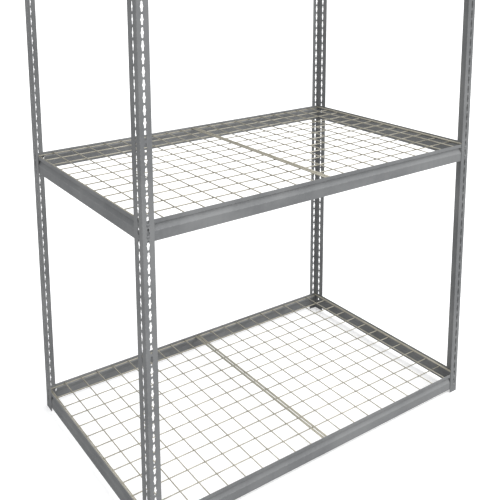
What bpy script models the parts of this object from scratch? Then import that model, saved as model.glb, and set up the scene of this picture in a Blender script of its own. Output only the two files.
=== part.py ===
"""Boltless steel shelving: four slotted angle posts, three levels of riveted beams, wire decks.

Units are metres, +Z is up, the front faces -Y and the origin is on the floor at the centre.
"""

import math

import bmesh
import bpy

# Overall size: 60 in wide, 36 in deep, 84 in tall, over the outer faces of the posts.
WIDTH = 1.524
DEPTH = 0.914
HEIGHT = 2.1336

# Slotted angle post, with its corner outwards.
POST_THICKNESS = 0.0019
POST_FRONT_FLANGE = 0.0415
POST_SIDE_FLANGE = 0.0540
POST_BEND = 0.0016
SLOT_PITCH = 0.0381
SLOT_COUNT = 55
SLOT_HEIGHT = 0.0316
SLOT_WIDTH = 0.0084
SLOT_BOTTOM = 0.0297
SLOT_PLACE = 0.47

# Beam: a plain top lip, a ledge pressed inwards for the deck, and a face sloping back out.
BEAM_HEIGHT = 0.0699
BEAM_SHEET = 0.0016
LIP_HEIGHT = 0.0150
LEDGE_DEPTH = 0.0095
SLOPE_END = 0.0370
END_CLEAR = 0.0065
TAB_LAP = 0.0020
FIT_GAP = 0.0003

# Rivets: two at each beam end, one slot pitch apart, seated in the lower end of a slot.
RIVET_UNDER_TOP = 0.0135
RIVET_SEAT = 0.0042
SHANK_RADIUS = 0.0032
HEAD_RADIUS = 0.0056
HEAD_HEIGHT = 0.0022
SHANK_SIDES = 4
HEAD_SIDES = 8

# Slot in which the lower rivet sits, for each level.
LEVELS = {"bottom": 0, "middle": 27, "top": 53}

# Wire deck: two panels side by side at each level, drawn as a lattice of every second wire.
DECK_THICKNESS = 0.0084
DECK_WIRE = 0.0042
DECK_END_BAND = 0.0142
DECK_CLEAR = 0.0020
DECK_SEAM = 0.0030
DECK_BAYS_X = 5
DECK_BAYS_Y = 6

PAINT = (0.235, 0.240, 0.245, 1.0)
RIVET_PAINT = (0.225, 0.230, 0.235, 1.0)
ZINC = (0.520, 0.505, 0.455, 1.0)


def clear_scene():
    for obj in list(bpy.data.objects):
        bpy.data.objects.remove(obj, do_unlink=True)
    for mesh in list(bpy.data.meshes):
        bpy.data.meshes.remove(mesh)


def make_material(name, color, roughness, metallic):
    material = bpy.data.materials.new(name)
    material.use_nodes = True
    shader = material.node_tree.nodes["Principled BSDF"]
    shader.inputs["Base Color"].default_value = color
    shader.inputs["Roughness"].default_value = roughness
    shader.inputs["Metallic"].default_value = metallic
    material.diffuse_color = color
    return material


def new_object(name, points, faces):
    mesh = bpy.data.meshes.new(name)
    mesh.from_pydata(points, [], faces)
    bm = bmesh.new()
    bm.from_mesh(mesh)
    bmesh.ops.remove_doubles(bm, verts=bm.verts, dist=1e-6)
    bmesh.ops.recalc_face_normals(bm, faces=bm.faces)
    bm.to_mesh(mesh)
    bm.free()
    obj = bpy.data.objects.new(name, mesh)
    bpy.context.scene.collection.objects.link(obj)
    return obj


def prism(outline, start, end, place):
    """Points and faces of an outline swept from start to end; place maps (a, b, along) to a point."""
    count = len(outline)
    points = [place(a, b, start) for a, b in outline]
    points += [place(a, b, end) for a, b in outline]
    faces = [tuple(range(count)), tuple(range(2 * count - 1, count - 1, -1))]
    for i in range(count):
        j = (i + 1) % count
        faces.append((i, j, count + j, count + i))
    return points, faces


def gathered(name, parts):
    """One object from several separate closed shapes."""
    points = []
    faces = []
    for part_points, part_faces in parts:
        shift = len(points)
        points += part_points
        faces += [tuple(index + shift for index in face) for face in part_faces]
    return new_object(name, points, faces)


def combined(base, tool, operation):
    """The base with the tool joined to it or cut from it; the tool is removed."""
    modifier = base.modifiers.new("combine", "BOOLEAN")
    modifier.operation = operation
    modifier.solver = "EXACT"
    modifier.object = tool
    graph = bpy.context.evaluated_depsgraph_get()
    mesh = bpy.data.meshes.new_from_object(base.evaluated_get(graph))
    base.modifiers.clear()
    base.data = mesh
    bpy.data.objects.remove(tool, do_unlink=True)
    return base


def box(x0, x1, y0, y1, z0, z1):
    outline = [(x0, y0), (x1, y0), (x1, y1), (x0, y1)]
    return prism(outline, z0, z1, lambda a, b, along: (a, b, along))


def dress(obj, name, material):
    obj.name = name
    obj.data.name = name
    obj.data.materials.clear()
    obj.data.materials.append(material)
    return obj


def level_top(level):
    """Height of the top edge of the beams of a level."""
    lower_rivet = SLOT_BOTTOM + RIVET_SEAT + LEVELS[level] * SLOT_PITCH
    return lower_rivet + SLOT_PITCH + RIVET_UNDER_TOP


def make_post(name, side_x, side_y, material):
    """A post at the corner on side_x and side_y, each -1 or +1."""
    corner_x = side_x * WIDTH / 2
    corner_y = side_y * DEPTH / 2
    outline = [
        (POST_BEND, 0.0),
        (POST_FRONT_FLANGE, 0.0),
        (POST_FRONT_FLANGE, POST_THICKNESS),
        (POST_THICKNESS, POST_THICKNESS),
        (POST_THICKNESS, POST_SIDE_FLANGE),
        (0.0, POST_SIDE_FLANGE),
        (0.0, POST_BEND),
    ]

    def place(a, b, along):
        return (corner_x - side_x * a, corner_y - side_y * b, along)

    post = new_object(name, *prism(outline, 0.0, HEIGHT, place))
    cutters = []
    for index in range(SLOT_COUNT):
        z0 = SLOT_BOTTOM + index * SLOT_PITCH
        z1 = z0 + SLOT_HEIGHT
        middle = corner_x - side_x * POST_FRONT_FLANGE * SLOT_PLACE
        through = (corner_y - 0.004, corner_y + 0.004)
        cutters.append(box(middle - SLOT_WIDTH / 2, middle + SLOT_WIDTH / 2, *through, z0, z1))
        middle = corner_y - side_y * POST_SIDE_FLANGE * SLOT_PLACE
        through = (corner_x - 0.004, corner_x + 0.004)
        cutters.append(box(*through, middle - SLOT_WIDTH / 2, middle + SLOT_WIDTH / 2, z0, z1))
    combined(post, gathered("slot_cutters", cutters), "DIFFERENCE")
    return dress(post, name, material)


def beam_outline():
    """The beam in section: a is the depth inwards from the outer face, b the height under the top."""
    t = BEAM_SHEET
    slope = math.atan2(SLOPE_END - LIP_HEIGHT, LEDGE_DEPTH)
    step = t / math.sin(slope)
    return [
        (0.0, 0.0),
        (t, 0.0),
        (t, -LIP_HEIGHT + t),
        (LEDGE_DEPTH + step + t / math.tan(slope), -LIP_HEIGHT + t),
        (LEDGE_DEPTH + step, -LIP_HEIGHT),
        (t, -SLOPE_END - t * 0.35),
        (t, -BEAM_HEIGHT),
        (0.0, -BEAM_HEIGHT),
        (0.0, -SLOPE_END),
        (LEDGE_DEPTH, -LIP_HEIGHT),
        (0.0, -LIP_HEIGHT),
    ]


def ring(radius, sides, turn):
    step = 2 * math.pi / sides
    return [(radius * math.cos(turn + i * step), radius * math.sin(turn + i * step)) for i in range(sides)]


def rivet(place, along_beam, z, start, stop):
    """A square-shanked stud from depth start, outwards to stop, with an eight-sided head."""
    shank = ring(SHANK_RADIUS * math.sqrt(2) * 0.9, SHANK_SIDES, math.pi / 4)
    head = ring(HEAD_RADIUS, HEAD_SIDES, math.pi / 8)
    crown = ring(HEAD_RADIUS * 0.62, HEAD_SIDES, math.pi / 8)
    loops = [(shank, start), (shank, stop), (head, stop), (head, stop - 0.0010), (crown, stop - HEAD_HEIGHT)]
    points = []
    starts = []
    for outline, depth in loops:
        starts.append(len(points))
        points += [place(depth, z + b, along_beam + a) for a, b in outline]
    faces = [tuple(range(SHANK_SIDES))]
    for i in range(SHANK_SIDES):
        j = (i + 1) % SHANK_SIDES
        faces.append((starts[0] + i, starts[0] + j, starts[1] + j, starts[1] + i))
    per_side = HEAD_SIDES // SHANK_SIDES
    for i in range(SHANK_SIDES):
        j = (i + 1) % SHANK_SIDES
        mine = [starts[2] + (i * per_side + k) % HEAD_SIDES for k in range(per_side + 1)]
        faces.append((starts[1] + i, starts[1] + j, *reversed(mine)))
    for low, high in ((2, 3), (3, 4)):
        for i in range(HEAD_SIDES):
            j = (i + 1) % HEAD_SIDES
            faces.append((starts[low] + i, starts[low] + j, starts[high] + j, starts[high] + i))
    faces.append(tuple(starts[4] + i for i in range(HEAD_SIDES)))
    return points, faces


def make_beam(name, level, along_x, side, material):
    """A beam on one side of the unit; along_x says whether it runs across the width."""
    top = level_top(level)
    half_run = (WIDTH if along_x else DEPTH) / 2
    half_across = (DEPTH if along_x else WIDTH) / 2
    flange = POST_FRONT_FLANGE if along_x else POST_SIDE_FLANGE
    outer = half_across - POST_THICKNESS - FIT_GAP

    def place(a, b, along):
        across = side * (outer - a)
        if along_x:
            return (along, across, top + b)
        return (across, along, top + b)

    outline = beam_outline()
    reach = half_run - flange - 0.001
    beam = new_object(name, *prism(outline, -reach, reach, place))
    tab = [(0.0, 0.0), (BEAM_SHEET, 0.0), (BEAM_SHEET, -BEAM_HEIGHT), (0.0, -BEAM_HEIGHT)]
    far = half_run - END_CLEAR
    tabs = [
        prism(tab, reach - TAB_LAP, far, place),
        prism(tab, -far, -reach + TAB_LAP, place),
    ]
    combined(beam, gathered("tabs", tabs), "UNION")
    rivets = []
    for end in (-1, 1):
        along = end * (half_run - flange * SLOT_PLACE)
        for step in (0, 1):
            z = -RIVET_UNDER_TOP - step * SLOT_PITCH
            stop = -(POST_THICKNESS + 2 * FIT_GAP)
            rivets.append(rivet(place, along, z, BEAM_SHEET / 2, stop))
    combined(beam, gathered("rivets", rivets), "UNION")
    return dress(beam, name, material)


def lattice(name, bars_x, bars_y, z0, z1):
    """A flat lattice: bars_x are the spans across X that are solid, bars_y the spans across Y."""
    xs = sorted({edge for bar in bars_x for edge in bar})
    ys = sorted({edge for bar in bars_y for edge in bar})

    def solid(i, j):
        if not (0 <= i < len(xs) - 1 and 0 <= j < len(ys) - 1):
            return False
        x = (xs[i] + xs[i + 1]) / 2
        y = (ys[j] + ys[j + 1]) / 2
        return any(a < x < b for a, b in bars_x) or any(a < y < b for a, b in bars_y)

    points = [(x, y, z) for z in (z0, z1) for y in ys for x in xs]

    def at(i, j, k):
        return (k * len(ys) + j) * len(xs) + i

    faces = []
    for j in range(len(ys) - 1):
        for i in range(len(xs) - 1):
            if not solid(i, j):
                continue
            corners = [(i, j), (i + 1, j), (i + 1, j + 1), (i, j + 1)]
            faces.append(tuple(at(a, b, 0) for a, b in reversed(corners)))
            faces.append(tuple(at(a, b, 1) for a, b in corners))
            beside = [(i, j - 1), (i + 1, j), (i, j + 1), (i - 1, j)]
            for k, neighbour in enumerate(beside):
                if solid(*neighbour):
                    continue
                first = corners[k]
                second = corners[(k + 1) % 4]
                faces.append((at(*first, 0), at(*second, 0), at(*second, 1), at(*first, 1)))
    used = sorted({index for face in faces for index in face})
    renumber = {old: new for new, old in enumerate(used)}
    faces = [tuple(renumber[index] for index in face) for face in faces]
    return new_object(name, [points[index] for index in used], faces)


def make_deck(name, level, side, material):
    """One wire deck panel; side is -1 for the left one and +1 for the right one."""
    inner_x = WIDTH / 2 - POST_THICKNESS - FIT_GAP - BEAM_SHEET - DECK_CLEAR
    inner_y = DEPTH / 2 - POST_THICKNESS - FIT_GAP - BEAM_SHEET - DECK_CLEAR
    x0, x1 = sorted((side * DECK_SEAM / 2, side * inner_x))
    z0 = level_top(level) - LIP_HEIGHT + BEAM_SHEET + FIT_GAP
    bars_x = [(x0, x0 + DECK_END_BAND), (x1 - DECK_END_BAND, x1)]
    for i in range(1, DECK_BAYS_X):
        middle = x0 + (x1 - x0) * i / DECK_BAYS_X
        bars_x.append((middle - DECK_WIRE / 2, middle + DECK_WIRE / 2))
    bars_y = [(-inner_y, -inner_y + DECK_WIRE), (inner_y - DECK_WIRE, inner_y)]
    for j in range(1, DECK_BAYS_Y):
        middle = -inner_y + 2 * inner_y * j / DECK_BAYS_Y
        bars_y.append((middle - DECK_WIRE / 2, middle + DECK_WIRE / 2))
    deck = lattice(name, bars_x, bars_y, z0, z0 + DECK_THICKNESS)
    return dress(deck, name, material)


def main():
    clear_scene()
    for side_y, depth_word in ((-1, "front"), (1, "back")):
        for side_x, width_word in ((-1, "left"), (1, "right")):
            name = f"post_{depth_word}_{width_word}"
            make_post(name, side_x, side_y, make_material(f"paint_{name}", PAINT, 0.45, 0.0))
    sides = (("front", True, -1), ("back", True, 1), ("left", False, -1), ("right", False, 1))
    for level in LEVELS:
        for word, along_x, side in sides:
            name = f"beam_{level}_{word}"
            make_beam(name, level, along_x, side, make_material(f"paint_{name}", RIVET_PAINT, 0.45, 0.0))
        for word, side in (("left", -1), ("right", 1)):
            name = f"deck_{level}_{word}"
            make_deck(name, level, side, make_material(f"zinc_{name}", ZINC, 0.38, 0.8))


main()
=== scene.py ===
"""Looks of the boltless steel shelving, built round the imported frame.

Metres, +Z up, the front faces -Y, and the origin is on the floor under the middle of the unit.
"""

import math
import random

import bmesh
import bpy
from mathutils import Matrix, Vector


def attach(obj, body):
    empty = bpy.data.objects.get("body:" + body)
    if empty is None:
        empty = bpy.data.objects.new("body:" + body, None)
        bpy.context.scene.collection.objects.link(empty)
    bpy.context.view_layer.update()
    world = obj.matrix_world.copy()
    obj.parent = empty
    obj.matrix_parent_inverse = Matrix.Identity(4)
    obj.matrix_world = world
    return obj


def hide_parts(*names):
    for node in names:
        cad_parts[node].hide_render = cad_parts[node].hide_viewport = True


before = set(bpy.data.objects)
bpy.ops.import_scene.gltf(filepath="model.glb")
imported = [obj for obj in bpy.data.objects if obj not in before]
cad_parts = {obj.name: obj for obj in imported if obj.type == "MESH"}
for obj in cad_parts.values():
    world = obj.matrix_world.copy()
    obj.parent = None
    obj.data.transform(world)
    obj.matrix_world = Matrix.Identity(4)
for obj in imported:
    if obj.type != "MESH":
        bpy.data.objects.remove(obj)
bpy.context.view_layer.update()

# Sizes shared with the solids.
WIDTH = 1.524
DEPTH = 0.914
HEIGHT = 2.1336
POST_THICKNESS = 0.0019
FRONT_FLANGE = 0.0415
SIDE_FLANGE = 0.0540
SLOT_PLACE = 0.47
SLOT_PITCH = 0.0381
SLOT_COUNT = 55
SLOT_BOTTOM = 0.0297
SLOT_HEIGHT = 0.0316
BEAM_HEIGHT = 0.0699
BEAM_SHEET = 0.0016
LIP_HEIGHT = 0.0150
LEDGE_DEPTH = 0.0095
SLOPE_END = 0.0370
END_CLEAR = 0.0065
FIT_GAP = 0.0003
RIVET_UNDER_TOP = 0.0135
RIVET_SEAT = 0.0042
LEVELS = {"bottom": 0, "middle": 27, "top": 53}
DECK_CLEAR = 0.0020
DECK_SEAM = 0.0030
BEAM_INSET = POST_THICKNESS + FIT_GAP
DECK_INSET = BEAM_INSET + BEAM_SHEET + DECK_CLEAR

# Shapes that the solids draw more simply: bends, slots, beam ends, rivets and wires.
BEND_INSIDE = 0.0013
BEND_STEPS = 5
SLOT_NARROW = 0.0035
SLOT_WIDE = 0.0057
SLOT_TAPER = 0.0068
SLOT_WIDE_ARC = (0, 15, 30, 42)
SLOT_END_ARC = (0, 22.5, 45, 67.5)
SLOT_CUT = (-0.004, 0.006)
TAB_LAP = 0.0020
TAB_CHAMFER = 0.0030
FLANGE_CLEAR = 0.0010
WINDOW_TOP = 0.0225
WINDOW_FOOT = 0.0345
WINDOW_STOP = 0.0146
POCKET_STOP = 0.0138
POCKET_BITE = 0.0012
POCKET_LAP = 0.0004
SHARP_ANGLE = 40
RIVET_SIDES = 20
WIRE_RADIUS = 0.00225
WIRE_SIDES = 10
WIRE_CHAMFER = 0.0006
MARK_STRIDE = 1.7
WELD_SINK = 0.0006
WIRE_OVERHANG = 0.0030
BORDER_PAIR = 0.0056
EDGE_INSET = 0.0006
LEFT_CELL = 0.0684
WIRE_PITCH = 0.0762
PITCH_WIRES = 9
CROSS_BAYS = 12

# Profile of a rivet from the crown of its head to its turned-over tail: radius, depth.
RIVET_PROFILE = [
    (0.0, -0.00450),
    (0.0024, -0.00436),
    (0.0041, -0.00385),
    (0.0052, -0.00300),
    (0.0056, -0.00235),
    (0.0031, -0.00230),
    (0.0031, 0.00140),
    (0.0044, 0.00162),
    (0.0042, 0.00220),
    (0.0026, 0.00270),
    (0.0, 0.00280),
]

# Colours.
PAINT = (0.236, 0.242, 0.248, 1.0)
PAINT_LIGHT = (0.268, 0.274, 0.278, 1.0)
PAINT_DARK = (0.196, 0.202, 0.208, 1.0)
# Lighter rubbed colour for worn paint; on the beams' creases it is also a painted highlight.
RUBBED_AND_HIGHLIGHT = (0.345, 0.350, 0.352, 1.0)
DUST = (0.300, 0.296, 0.282, 1.0)
ZINC_LIGHT = (0.585, 0.555, 0.465, 1.0)
ZINC_DARK = (0.410, 0.388, 0.318, 1.0)
ZINC_WHITE = (0.660, 0.645, 0.585, 1.0)

# Noise patterns: scale, detail, roughness and, for scratches, distortion.
PAINT_CLOUD = (4.0, 5.0, 0.55)
PAINT_STREAK = (1.0, 4.0, 0.6)
PAINT_PEEL = (620.0, 2.0, 0.45)
PAINT_GRAIN = (2600.0, 1.0, 0.5)
PAINT_WAVE = (28.0, 2.0, 0.5)
PAINT_MOTTLE = (75.0, 3.0, 0.55)
PAINT_SCRATCH = (1.0, 3.0, 0.6, 0.6)
PAINT_PATCH = (9.0, 2.0, 0.5)
PAINT_WORN = (130.0, 4.0, 0.6)
ZINC_STREAK = (1.0, 4.0, 0.65)
ZINC_CLOUD = (1.0, 3.0, 0.6)
ZINC_BLOOM = (55.0, 4.0, 0.6)

# How far each piece's own number shifts its patterns in Y and Z, against 1 in X.
OWN_STRIDES = (7.3, 3.1)

# How far the streaks, scratches and clouds are drawn out along each axis.
STREAK_STRETCH = (60.0, 60.0, 5.0)
SCRATCH_STRETCH = (14.0, 14.0, 900.0)
DRAWN_STRETCH = (9.0, 1500.0, 1500.0)
DRAWN_CLOUD_STRETCH = (14.0, 60.0, 60.0)

# Where the paint is rubbed: the posts' bends and cut edges, the beams' top edges; along the beams'
# creases the same lighter colour is a painted highlight, broken up like the wear.
BEND_RUB = (0.0012, 0.0045)
CUT_RUB = (0.0014, 0.0002)
TOP_RUB = (-0.0022, -0.0006)
CREASE_HIGHLIGHT = (-0.0400, -0.0372, -0.0350)
FOOT_RUB = (0.0010, 0.0030)
OUTER_RUB = (0.0008, 0.0022)

# Stage.
FLOOR_HALF = 90.0
FLOOR_TONES = ((0.93, 0.93, 0.93, 1.0), (0.95, 0.95, 0.95, 1.0))
FLOOR_GLOW = 0.34
FLOOR_BOUNCE = (0.45, 0.45, 0.45, 1.0)
WHITE = (1.0, 1.0, 1.0, 1.0)
SKY = (0.985, 0.99, 1.0, 1.0)
SKY_STRENGTH = 0.40

# Soft lamps: direction towards the lamp, strength over pi, angular size in degrees.
SUNS = {
    "key": ((0.18, -0.24, 0.95), 0.62, 50.0),
    "fill": ((0.45, -0.80, 0.35), 0.33, 40.0),
    "side": ((-0.80, -0.35, 0.49), 0.20, 40.0),
}

# Camera: metres, degrees and millimetres; the shift is in frame widths.
CAMERA_PLACE = (-1.7451, -2.3112, 1.9281)
CAMERA_YAW = 33.245
CAMERA_PITCH = 9.990
CAMERA_ROLL = -0.777
CAMERA_LENS = 52.90
CAMERA_SENSOR = 36.0
CAMERA_SHIFT = (0.09, -0.35)
CAMERA_FAR = 400.0

random.seed(7)


def level_top(level):
    """Height of the top edge of a level's beams."""
    lower_rivet = SLOT_BOTTOM + RIVET_SEAT + LEVELS[level] * SLOT_PITCH
    return lower_rivet + SLOT_PITCH + RIVET_UNDER_TOP


# Meshes


def make_mesh(name, points, faces, smooth=()):
    mesh = bpy.data.meshes.new(name)
    mesh.from_pydata(points, [], faces)
    for index in smooth:
        mesh.polygons[index].use_smooth = True
    mesh.validate()
    return mesh


def outward(mesh):
    """The mesh with all its faces turned outwards."""
    bm = bmesh.new()
    bm.from_mesh(mesh)
    bmesh.ops.recalc_face_normals(bm, faces=bm.faces)
    bm.to_mesh(mesh)
    bm.free()
    return mesh


def prism(outline, start, end, place):
    """Points and faces of the outline drawn out from start to end; place puts it in the mesh."""
    count = len(outline)
    points = [place(a, b, along) for along in (start, end) for a, b in outline]
    faces = [tuple(range(count)), tuple(range(2 * count - 1, count - 1, -1))]
    for i in range(count):
        j = (i + 1) % count
        faces.append((i, j, count + j, count + i))
    return points, faces


def gather(parts):
    """Several (points, faces) pairs as one."""
    points = []
    faces = []
    for part_points, part_faces in parts:
        shift = len(points)
        points += part_points
        faces += [tuple(i + shift for i in face) for face in part_faces]
    return points, faces


def combined(base, tool, operation):
    """The base mesh with the tool mesh joined to it or cut from it."""
    first = bpy.data.objects.new("combine_base", outward(base))
    second = bpy.data.objects.new("combine_tool", outward(tool))
    for obj in (first, second):
        bpy.context.scene.collection.objects.link(obj)
    modifier = first.modifiers.new("combine", "BOOLEAN")
    modifier.operation = operation
    modifier.solver = "EXACT"
    modifier.object = second
    graph = bpy.context.evaluated_depsgraph_get()
    mesh = bpy.data.meshes.new_from_object(first.evaluated_get(graph))
    for obj in (first, second):
        bpy.data.objects.remove(obj, do_unlink=True)
    return mesh


def turn(vector, angle):
    """The flat vector turned anticlockwise by the angle."""
    cos, sin = math.cos(angle), math.sin(angle)
    return Vector((vector.x * cos - vector.y * sin, vector.x * sin + vector.y * cos))


def sheet_outline(path, thickness, inside):
    """Outline of a bent sheet, which lies to the left of the path that is one of its faces."""
    path = [Vector(point) for point in path]
    rows = []
    for i, point in enumerate(path):
        before = (point - path[i - 1]).normalized() if i else None
        after = (path[i + 1] - point).normalized() if i < len(path) - 1 else None
        if before is None or after is None:
            left = turn(after if before is None else before, math.pi / 2)
            rows.append((point, left))
            continue
        angle = math.atan2(before.x * after.y - before.y * after.x, before.dot(after))
        radius = inside + (thickness if angle > 0 else 0.0)
        back = radius * math.tan(abs(angle) / 2)
        left = turn(before, math.pi / 2)
        side = 1 if angle > 0 else -1
        centre = point - before * back + left * radius * side
        for step in range(BEND_STEPS + 1):
            normal = turn(left, angle * step / BEND_STEPS)
            rows.append((centre - normal * radius * side, normal))
    outer = [tuple(point) for point, _ in rows]
    inner = [tuple(point + normal * thickness) for point, normal in rows]
    return outer + inner[::-1]


def slot_outline():
    """A slot with a round middle that tapers both ways to a narrow round end."""
    quarter = []
    for degrees in SLOT_WIDE_ARC:
        angle = math.radians(degrees)
        quarter.append((SLOT_WIDE * math.cos(angle), SLOT_WIDE * math.sin(angle)))
    quarter.append((SLOT_NARROW, SLOT_TAPER))
    straight = SLOT_HEIGHT / 2 - SLOT_NARROW
    for degrees in SLOT_END_ARC:
        angle = math.radians(degrees)
        across = SLOT_NARROW * math.cos(angle)
        quarter.append((across, straight + SLOT_NARROW * math.sin(angle)))
    top = [(0.0, SLOT_HEIGHT / 2)]
    upper = quarter + top + [(-a, b) for a, b in reversed(quarter)]
    return upper + [(-a, -b) for a, b in upper[1:-1]]


def post_mesh(name, side):
    """A post round its own corner; side is +1 where its front flange runs towards +X."""
    path = [(0.0, SIDE_FLANGE), (0.0, 0.0), (FRONT_FLANGE, 0.0)]
    outline = sheet_outline(path, POST_THICKNESS, BEND_INSIDE)
    outline = [(side * a, b) for a, b in outline]
    post = make_mesh(name, *prism(outline, 0.0, HEIGHT, lambda a, b, along: (a, b, along)))
    shape = slot_outline()
    front = FRONT_FLANGE * SLOT_PLACE * side
    beside = SIDE_FLANGE * SLOT_PLACE
    cutters = []
    for index in range(SLOT_COUNT):
        middle = SLOT_BOTTOM + SLOT_HEIGHT / 2 + index * SLOT_PITCH
        cutters.append(
            prism(shape, *SLOT_CUT, lambda a, b, along: (front + a, along, middle + b))
        )
        cutters.append(
            prism(shape, *SLOT_CUT, lambda a, b, along: (along * side, beside + a, middle + b))
        )
    return combined(post, make_mesh("slots", *gather(cutters)), "DIFFERENCE")


def lathe(profile, sides, place):
    """A closed solid of revolution; the profile's first and last points are on the axis."""
    points = [place(0.0, 0.0, profile[0][1])]
    for radius, depth in profile[1:-1]:
        for i in range(sides):
            angle = 2 * math.pi * i / sides
            points.append(place(radius * math.cos(angle), radius * math.sin(angle), depth))
    points.append(place(0.0, 0.0, profile[-1][1]))
    faces = []
    rings = len(profile) - 2
    for i in range(sides):
        j = (i + 1) % sides
        faces.append((0, 1 + j, 1 + i))
        for ring in range(rings - 1):
            low = 1 + ring * sides
            high = low + sides
            faces.append((low + i, low + j, high + j, high + i))
        low = 1 + (rings - 1) * sides
        faces.append((low + i, low + j, len(points) - 1))
    return points, faces


def beam_mesh(name, run, flange):
    """A beam along its own X, its outer face at y = 0 facing -Y and its top edge at z = 0."""
    path = [
        (0.0, 0.0),
        (0.0, -LIP_HEIGHT),
        (LEDGE_DEPTH, -LIP_HEIGHT),
        (0.0, -SLOPE_END),
        (0.0, -BEAM_HEIGHT),
    ]
    reach = run / 2 - flange - FLANGE_CLEAR
    section = sheet_outline(path, BEAM_SHEET, BEND_INSIDE)
    beam = make_mesh(name, *prism(section, -reach, reach, lambda a, b, along: (along, a, b)))
    slope = (SLOPE_END - LIP_HEIGHT) / LEDGE_DEPTH
    pocket_path = [
        (POCKET_BITE, -LIP_HEIGHT),
        (LEDGE_DEPTH, -LIP_HEIGHT),
        (POCKET_BITE, -SLOPE_END + slope * POCKET_BITE),
    ]
    pocket = sheet_outline(pocket_path, BEAM_SHEET, BEND_INSIDE)
    near = reach - TAB_LAP
    far = run / 2 - END_CLEAR
    window = run / 2 - WINDOW_STOP
    start = reach - POCKET_LAP
    stop = run / 2 - POCKET_STOP
    tab = [
        (near, 0.0),
        (far - TAB_CHAMFER, 0.0),
        (far, -TAB_CHAMFER),
        (far, -BEAM_HEIGHT + TAB_CHAMFER),
        (far - TAB_CHAMFER, -BEAM_HEIGHT),
        (near, -BEAM_HEIGHT),
        (near, -WINDOW_FOOT),
        (window, -WINDOW_FOOT),
        (window, -WINDOW_TOP),
        (near, -WINDOW_TOP),
    ]
    tabs = []
    pockets = []
    for end in (-1, 1):
        tabs.append(prism(tab, 0.0, BEAM_SHEET, lambda a, b, along: (end * a, along, b)))
        pockets.append(prism(pocket, start, stop, lambda a, b, along: (end * along, a, b)))
    beam = combined(beam, make_mesh("tabs", *gather(tabs)), "UNION")
    beam = combined(beam, make_mesh("pockets", *gather(pockets)), "UNION")
    flat_count = len(beam.polygons)
    rivets = []
    for end in (-1, 1):
        along = end * (run / 2 - flange * SLOT_PLACE)
        for step in (0, 1):
            down = -RIVET_UNDER_TOP - step * SLOT_PITCH
            rivets.append(
                lathe(RIVET_PROFILE, RIVET_SIDES, lambda a, b, depth: (along + a, depth, down + b))
            )
    heads = outward(make_mesh("rivets", *gather(rivets)))
    bm = bmesh.new()
    bm.from_mesh(beam)
    bm.from_mesh(heads)
    bm.to_mesh(beam)
    bm.free()
    for polygon in beam.polygons:
        polygon.use_smooth = polygon.index >= flat_count
    beam.set_sharp_from_angle(angle=math.radians(SHARP_ANGLE))
    return beam


def wire(start, end, marks, mark):
    """A round wire, with the drawing direction kept in marks for the material."""
    start, end = Vector(start), Vector(end)
    along = (end - start).normalized()
    side = along.orthogonal().normalized()
    other = along.cross(side)
    length = (end - start).length
    rings = [
        (0.0, WIRE_RADIUS - WIRE_CHAMFER),
        (WIRE_CHAMFER, WIRE_RADIUS),
        (length - WIRE_CHAMFER, WIRE_RADIUS),
        (length, WIRE_RADIUS - WIRE_CHAMFER),
    ]
    points = []
    for place, radius in rings:
        for i in range(WIRE_SIDES):
            angle = 2 * math.pi * (i + 0.5) / WIRE_SIDES
            cos, sin = math.cos(angle), math.sin(angle)
            points.append(tuple(start + along * place + (side * cos + other * sin) * radius))
            across = (cos * WIRE_RADIUS + mark, sin * WIRE_RADIUS - mark)
            marks.append((place + mark * MARK_STRIDE, *across))
    faces = [tuple(reversed(range(WIRE_SIDES)))]
    last = (len(rings) - 1) * WIRE_SIDES
    for low in range(0, last, WIRE_SIDES):
        high = low + WIRE_SIDES
        for i in range(WIRE_SIDES):
            j = (i + 1) % WIRE_SIDES
            faces.append((low + i, low + j, high + j, high + i))
    faces.append(tuple(range(last, last + WIRE_SIDES)))
    return points, faces


def deck_mesh(name):
    """One welded panel: its left end at x = 0, its middle at y = 0 and its underside at z = 0."""
    length = WIDTH / 2 - DECK_INSET - DECK_SEAM / 2
    half = DEPTH / 2 - DECK_INSET
    inner = WIRE_OVERHANG + BORDER_PAIR
    places = [WIRE_OVERHANG, inner]
    places += [inner + LEFT_CELL + i * WIRE_PITCH for i in range(PITCH_WIRES)]
    places += [length - inner, length - WIRE_OVERHANG]
    marks = []
    wires = []
    upper = 3 * WIRE_RADIUS - WELD_SINK
    for x in places:
        wires.append(wire((x, -half, upper), (x, half, upper), marks, random.random()))
    edge = half - WIRE_RADIUS - EDGE_INSET
    for i in range(CROSS_BAYS + 1):
        y = -edge + 2 * edge * i / CROSS_BAYS
        start, end = (0.0, y, WIRE_RADIUS), (length, y, WIRE_RADIUS)
        wires.append(wire(start, end, marks, random.random()))
    points, faces = gather(wires)
    smooth = [i for i, face in enumerate(faces) if len(face) == 4]
    mesh = make_mesh(name, points, faces, smooth)
    drawn = mesh.attributes.new("drawn", "FLOAT_VECTOR", "POINT")
    drawn.data.foreach_set("vector", [value for mark in marks for value in mark])
    return mesh


# Materials


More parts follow.
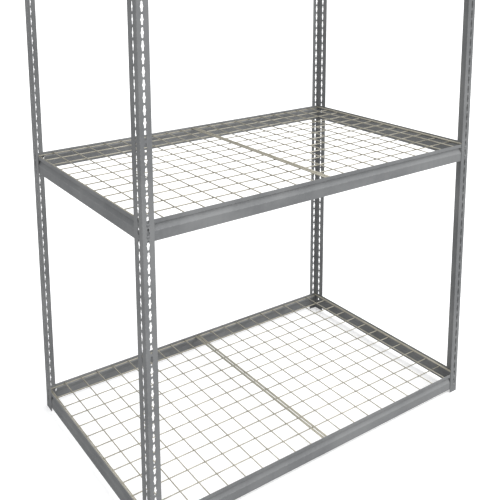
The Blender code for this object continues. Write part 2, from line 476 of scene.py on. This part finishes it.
class Nodes:
    """Short forms for building a material's node tree."""

    def __init__(self, name):
        self.material = bpy.data.materials.new(name)
        self.material.use_nodes = True
        self.tree = self.material.node_tree
        self.shader = self.tree.nodes["Principled BSDF"]

    def put(self, value, socket):
        if isinstance(value, bpy.types.NodeSocket):
            self.tree.links.new(value, socket)
        else:
            socket.default_value = value

    def add(self, kind, settings=None, **inputs):
        made = self.tree.nodes.new("ShaderNode" + kind)
        for key, value in (settings or {}).items():
            setattr(made, key, value)
        for key, value in inputs.items():
            self.put(value, made.inputs[key.replace("_", " ")])
        return made

    def math(self, operation, *values):
        made = self.add("Math", {"operation": operation})
        for index, value in enumerate(values):
            self.put(value, made.inputs[index])
        return made.outputs[0]

    def span(self, value, low, high, to_low=0.0, to_high=1.0):
        """Maps low..high smoothly to to_low..to_high, held at both ends."""
        made = self.add("MapRange", {"interpolation_type": "SMOOTHSTEP"})
        for index, each in enumerate((value, low, high, to_low, to_high)):
            self.put(each, made.inputs[index])
        return made.outputs[0]

    def noise(self, vector, scale, detail=2.0, roughness=0.5, distortion=0.0):
        made = self.add(
            "TexNoise",
            Vector=vector,
            Scale=scale,
            Detail=detail,
            Roughness=roughness,
            Distortion=distortion,
        )
        return made.outputs[0]

    def stretched(self, vector, scale):
        made = self.add("Mapping", Vector=vector)
        made.inputs["Scale"].default_value = scale
        return made.outputs[0]

    def mix(self, factor, first, second):
        made = self.add("Mix", {"data_type": "RGBA"})
        self.put(factor, made.inputs[0])
        self.put(first, made.inputs[6])
        self.put(second, made.inputs[7])
        return made.outputs[2]

    def bump(self, height, distance, strength, normal=None):
        made = self.add("Bump", Height=height, Distance=distance, Strength=strength)
        if normal is not None:
            self.put(normal, made.inputs["Normal"])
        return made.outputs[0]


def paint(name, rub_and_highlight):
    """Satin grey paint on steel; the second argument, called with (nodes, coordinates), gives
    where it is rubbed thin, and on the beams also a painted highlight along the crease.
    """
    n = Nodes(name)
    own = n.add("ObjectInfo").outputs["Random"]
    coordinates = n.add("TexCoord").outputs["Object"]
    own_y, own_z = (n.math("MULTIPLY", own, stride) for stride in OWN_STRIDES)
    shift = n.add("CombineXYZ", X=own, Y=own_y, Z=own_z)
    place = n.add("VectorMath", {"operation": "ADD"})
    n.put(coordinates, place.inputs[0])
    n.put(shift.outputs[0], place.inputs[1])
    place = place.outputs[0]

    cloud = n.noise(place, *PAINT_CLOUD)
    streak = n.noise(n.stretched(place, STREAK_STRETCH), *PAINT_STREAK)
    peel = n.noise(place, *PAINT_PEEL)
    grain = n.noise(place, *PAINT_GRAIN)
    wave = n.noise(place, *PAINT_WAVE)
    mottle = n.noise(place, *PAINT_MOTTLE)

    colour = n.mix(n.span(cloud, 0.35, 0.65), PAINT_DARK, PAINT_LIGHT)
    colour = n.mix(n.span(streak, 0.42, 0.70, 0.0, 0.45), colour, PAINT)
    colour = n.mix(n.span(mottle, 0.50, 0.72, 0.0, 0.30), colour, PAINT_LIGHT)
    colour = n.mix(n.span(grain, 0.60, 0.78, 0.0, 0.35), colour, RUBBED_AND_HIGHLIGHT)
    scratch = n.noise(n.stretched(place, SCRATCH_STRETCH), *PAINT_SCRATCH)
    patch = n.span(n.noise(place, *PAINT_PATCH), 0.60, 0.72)
    scuff = n.math("MULTIPLY", n.span(scratch, 0.62, 0.70), patch)
    colour = n.mix(n.math("MULTIPLY", scuff, 0.35), colour, RUBBED_AND_HIGHLIGHT)
    facing = n.add("NewGeometry").outputs["Normal"]
    upward = n.add("SeparateXYZ", Vector=facing).outputs[2]
    dusty = n.math("MULTIPLY", n.span(upward, 0.6, 0.95), n.span(mottle, 0.35, 0.65, 0.25, 0.75))
    colour = n.mix(dusty, colour, DUST)
    flaking = n.span(n.noise(place, *PAINT_WORN), 0.44, 0.62)
    # Worn edges go towards the lighter rubbed colour; on the beams this also paints a highlight
    # along the crease.
    worn_and_highlight = n.math("MULTIPLY", rub_and_highlight(n, coordinates), flaking)
    colour = n.mix(n.math("MULTIPLY", worn_and_highlight, 0.45), colour, RUBBED_AND_HIGHLIGHT)
    n.put(colour, n.shader.inputs["Base Color"])

    rough = n.span(mottle, 0.30, 0.70, 0.40, 0.54)
    rough = n.math("ADD", rough, n.math("MULTIPLY", dusty, 0.16))
    rough = n.math("ADD", rough, n.math("MULTIPLY", scuff, 0.10))
    rough = n.math("SUBTRACT", rough, n.math("MULTIPLY", worn_and_highlight, 0.08))
    n.put(rough, n.shader.inputs["Roughness"])
    n.shader.inputs["Metallic"].default_value = 0.0
    n.shader.inputs["Specular IOR Level"].default_value = 0.45

    normal = n.bump(wave, 0.0012, 0.25)
    normal = n.bump(peel, 0.00018, 0.55, normal)
    n.put(normal, n.shader.inputs["Normal"])
    return n.material


def post_edges(n, coordinates):
    """The posts' bend and their two long cut edges."""
    split = n.add("SeparateXYZ", Vector=coordinates)
    a = n.math("ABSOLUTE", split.outputs[0])
    b = n.math("ABSOLUTE", split.outputs[1])
    bend = n.math("MULTIPLY", n.span(a, *BEND_RUB, 1.0, 0.0), n.span(b, *BEND_RUB, 1.0, 0.0))
    front = n.span(a, *(FRONT_FLANGE - inset for inset in CUT_RUB))
    beside = n.span(b, *(SIDE_FLANGE - inset for inset in CUT_RUB))
    cut = n.math("MAXIMUM", front, beside)
    return n.math("MINIMUM", n.math("ADD", bend, cut), 1.0)


def beam_rub_and_crease_highlight(n, coordinates):
    """The beams' rubbed top and bottom edges, and a painted highlight along the crease at the foot
    of the slope.
    """
    split = n.add("SeparateXYZ", Vector=coordinates)
    depth, height = split.outputs[1], split.outputs[2]
    top = n.span(height, *TOP_RUB)
    low, peak, high = CREASE_HIGHLIGHT
    # Painted highlight: a lighter band along the crease at the foot of the slope, where it catches
    # the light.
    crease_highlight = n.math("MULTIPLY", n.span(height, low, peak), n.span(height, peak, high, 1.0, 0.0))
    foot = n.span(height, *(rise - BEAM_HEIGHT for rise in FOOT_RUB), 1.0, 0.0)
    outer = n.span(depth, *OUTER_RUB, 1.0, 0.0)
    top_rub_and_crease_highlight = n.math("ADD", top, n.math("MULTIPLY", crease_highlight, outer))
    rub_and_crease_highlight = n.math("ADD", top_rub_and_crease_highlight, n.math("MULTIPLY", foot, outer))
    return n.math("MINIMUM", rub_and_crease_highlight, 1.0)


def zinc(name):
    """Dull galvanised wire, with the fine streaks that drawing leaves along it."""
    n = Nodes(name)
    drawn = n.add("Attribute", {"attribute_name": "drawn"}).outputs["Vector"]
    coordinates = n.add("TexCoord").outputs["Object"]
    streak = n.noise(n.stretched(drawn, DRAWN_STRETCH), *ZINC_STREAK)
    cloud = n.noise(n.stretched(drawn, DRAWN_CLOUD_STRETCH), *ZINC_CLOUD)
    bloom = n.noise(coordinates, *ZINC_BLOOM)
    colour = n.mix(n.span(cloud, 0.32, 0.68), ZINC_DARK, ZINC_LIGHT)
    colour = n.mix(n.span(streak, 0.45, 0.75, 0.0, 0.5), colour, ZINC_DARK)
    colour = n.mix(n.span(bloom, 0.56, 0.70, 0.0, 0.55), colour, ZINC_WHITE)
    n.put(colour, n.shader.inputs["Base Color"])
    n.put(n.span(cloud, 0.30, 0.70, 0.55, 0.36), n.shader.inputs["Roughness"])
    n.shader.inputs["Metallic"].default_value = 0.20
    normal = n.bump(streak, 0.00012, 0.5)
    normal = n.bump(bloom, 0.0002, 0.25, normal)
    n.put(normal, n.shader.inputs["Normal"])
    return n.material


# Pieces


def piece(name, mesh, place, quarter, body, node, material):
    """A copy of the mesh at the place, turned by quarters, in the stead of a CAD node."""
    obj = bpy.data.objects.new(name, mesh.copy())
    obj.data.name = name
    bpy.context.scene.collection.objects.link(obj)
    turned = Matrix.Rotation(math.radians(90) * quarter, 4, "Z")
    obj.matrix_world = Matrix.Translation(place) @ turned
    obj.data.materials.clear()
    obj.data.materials.append(material)
    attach(obj, body)
    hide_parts(node)
    return obj


def build_posts():
    material = paint("grey_paint_posts", post_edges)
    left = post_mesh("post_left", 1)
    right = post_mesh("post_right", -1)
    corners = (
        ("front_left", -1, -1, left, 0),
        ("front_right", 1, -1, right, 0),
        ("back_right", 1, 1, left, 2),
        ("back_left", -1, 1, right, 2),
    )
    for word, side_x, side_y, mesh, quarter in corners:
        place = (side_x * WIDTH / 2, side_y * DEPTH / 2, 0.0)
        node = f"post_{word}"
        piece(f"slotted_{node}", mesh, place, quarter, "posts", node, material)


def build_beams():
    material = paint("grey_paint_beams", beam_rub_and_crease_highlight)
    across = beam_mesh("beam_across", WIDTH, FRONT_FLANGE)
    along = beam_mesh("beam_along", DEPTH, SIDE_FLANGE)
    sides = (
        ("front", 0.0, -DEPTH / 2 + BEAM_INSET, across, 0),
        ("back", 0.0, DEPTH / 2 - BEAM_INSET, across, 2),
        ("left", -WIDTH / 2 + BEAM_INSET, 0.0, along, 3),
        ("right", WIDTH / 2 - BEAM_INSET, 0.0, along, 1),
    )
    for level in LEVELS:
        body = f"level_{level}"
        for word, x, y, mesh, quarter in sides:
            node = f"beam_{level}_{word}"
            place = (x, y, level_top(level))
            piece(f"riveted_{node}", mesh, place, quarter, body, node, material)


def build_decks():
    material = zinc("zinc_wire_decks")
    mesh = deck_mesh("deck_panel")
    ends = {"left": DECK_INSET - WIDTH / 2, "right": DECK_SEAM / 2}
    for level in LEVELS:
        z = level_top(level) - LIP_HEIGHT + BEAM_SHEET + FIT_GAP
        for word, x in ends.items():
            node = f"deck_{level}_{word}"
            body = f"panel_{level}_{word}"
            piece(f"wire_{node}", mesh, (x, 0.0, z), 0, body, node, material)


# Stage


def build_floor():
    """A pale floor that looks evenly lit, but throws only a little light back up."""
    signs = ((-1, -1), (1, -1), (1, 1), (-1, 1))
    corners = [(x * FLOOR_HALF, y * FLOOR_HALF, 0) for x, y in signs]
    mesh = make_mesh("floor", corners, [(0, 1, 2, 3)])
    floor = bpy.data.objects.new("floor", mesh)
    bpy.context.scene.collection.objects.link(floor)
    n = Nodes("pale_floor")
    coordinates = n.add("TexCoord").outputs["Object"]
    tone = n.mix(n.noise(coordinates, 0.8, 2.0), *FLOOR_TONES)
    n.put(tone, n.shader.inputs["Base Color"])
    n.shader.inputs["Roughness"].default_value = 0.9
    n.shader.inputs["Specular IOR Level"].default_value = 0.0
    n.shader.inputs["Emission Color"].default_value = WHITE
    n.shader.inputs["Emission Strength"].default_value = FLOOR_GLOW
    dim = n.add("BsdfDiffuse", Color=FLOOR_BOUNCE)
    choose = n.add("MixShader")
    n.put(n.add("LightPath").outputs["Is Camera Ray"], choose.inputs[0])
    n.put(dim.outputs[0], choose.inputs[1])
    n.put(n.shader.outputs[0], choose.inputs[2])
    n.put(choose.outputs[0], n.tree.nodes["Material Output"].inputs["Surface"])
    mesh.materials.append(n.material)


def add_sun(name, towards, strength, spread):
    lamp = bpy.data.lights.new(name, "SUN")
    lamp.energy = strength
    lamp.angle = math.radians(spread)
    obj = bpy.data.objects.new(name, lamp)
    obj.rotation_mode = "QUATERNION"
    obj.rotation_quaternion = Vector(towards).to_track_quat("Z", "Y")
    bpy.context.scene.collection.objects.link(obj)


def light_stage():
    """Soft lamps and a dim even sky; the camera sees the sky as plain white."""
    for name, (towards, strength, spread) in SUNS.items():
        add_sun(name, towards, strength * math.pi, spread)
    world = bpy.data.worlds.new("studio")
    bpy.context.scene.world = world
    world.use_nodes = True
    tree = world.node_tree
    sky = tree.nodes["Background"]
    sky.inputs["Color"].default_value = SKY
    sky.inputs["Strength"].default_value = SKY_STRENGTH
    white = tree.nodes.new("ShaderNodeBackground")
    white.inputs["Color"].default_value = WHITE
    white.inputs["Strength"].default_value = 1.0
    choose = tree.nodes.new("ShaderNodeMixShader")
    seen = tree.nodes.new("ShaderNodeLightPath")
    tree.links.new(seen.outputs["Is Camera Ray"], choose.inputs[0])
    tree.links.new(sky.outputs[0], choose.inputs[1])
    tree.links.new(white.outputs[0], choose.inputs[2])
    tree.links.new(choose.outputs[0], tree.nodes["World Output"].inputs[0])
    bpy.context.scene.view_settings.view_transform = "Standard"


def add_camera():
    yaw, pitch, roll = map(math.radians, (CAMERA_YAW, CAMERA_PITCH, CAMERA_ROLL))
    flat = math.cos(pitch)
    forward = Vector((math.sin(yaw) * flat, math.cos(yaw) * flat, -math.sin(pitch)))
    right = Vector((math.cos(yaw), -math.sin(yaw), 0.0))
    up = right.cross(forward)
    right, up = (
        right * math.cos(roll) + up * math.sin(roll),
        up * math.cos(roll) - right * math.sin(roll),
    )
    data = bpy.data.cameras.new("photo_camera")
    data.lens = CAMERA_LENS
    data.sensor_width = CAMERA_SENSOR
    data.shift_x, data.shift_y = CAMERA_SHIFT
    data.clip_end = CAMERA_FAR
    camera = bpy.data.objects.new("photo_camera", data)
    turned = Matrix((right, up, -forward)).transposed().to_4x4()
    camera.matrix_world = Matrix.Translation(CAMERA_PLACE) @ turned
    bpy.context.scene.collection.objects.link(camera)
    bpy.context.scene.camera = camera


build_posts()
build_beams()
build_decks()
build_floor()
light_stage()
add_camera()
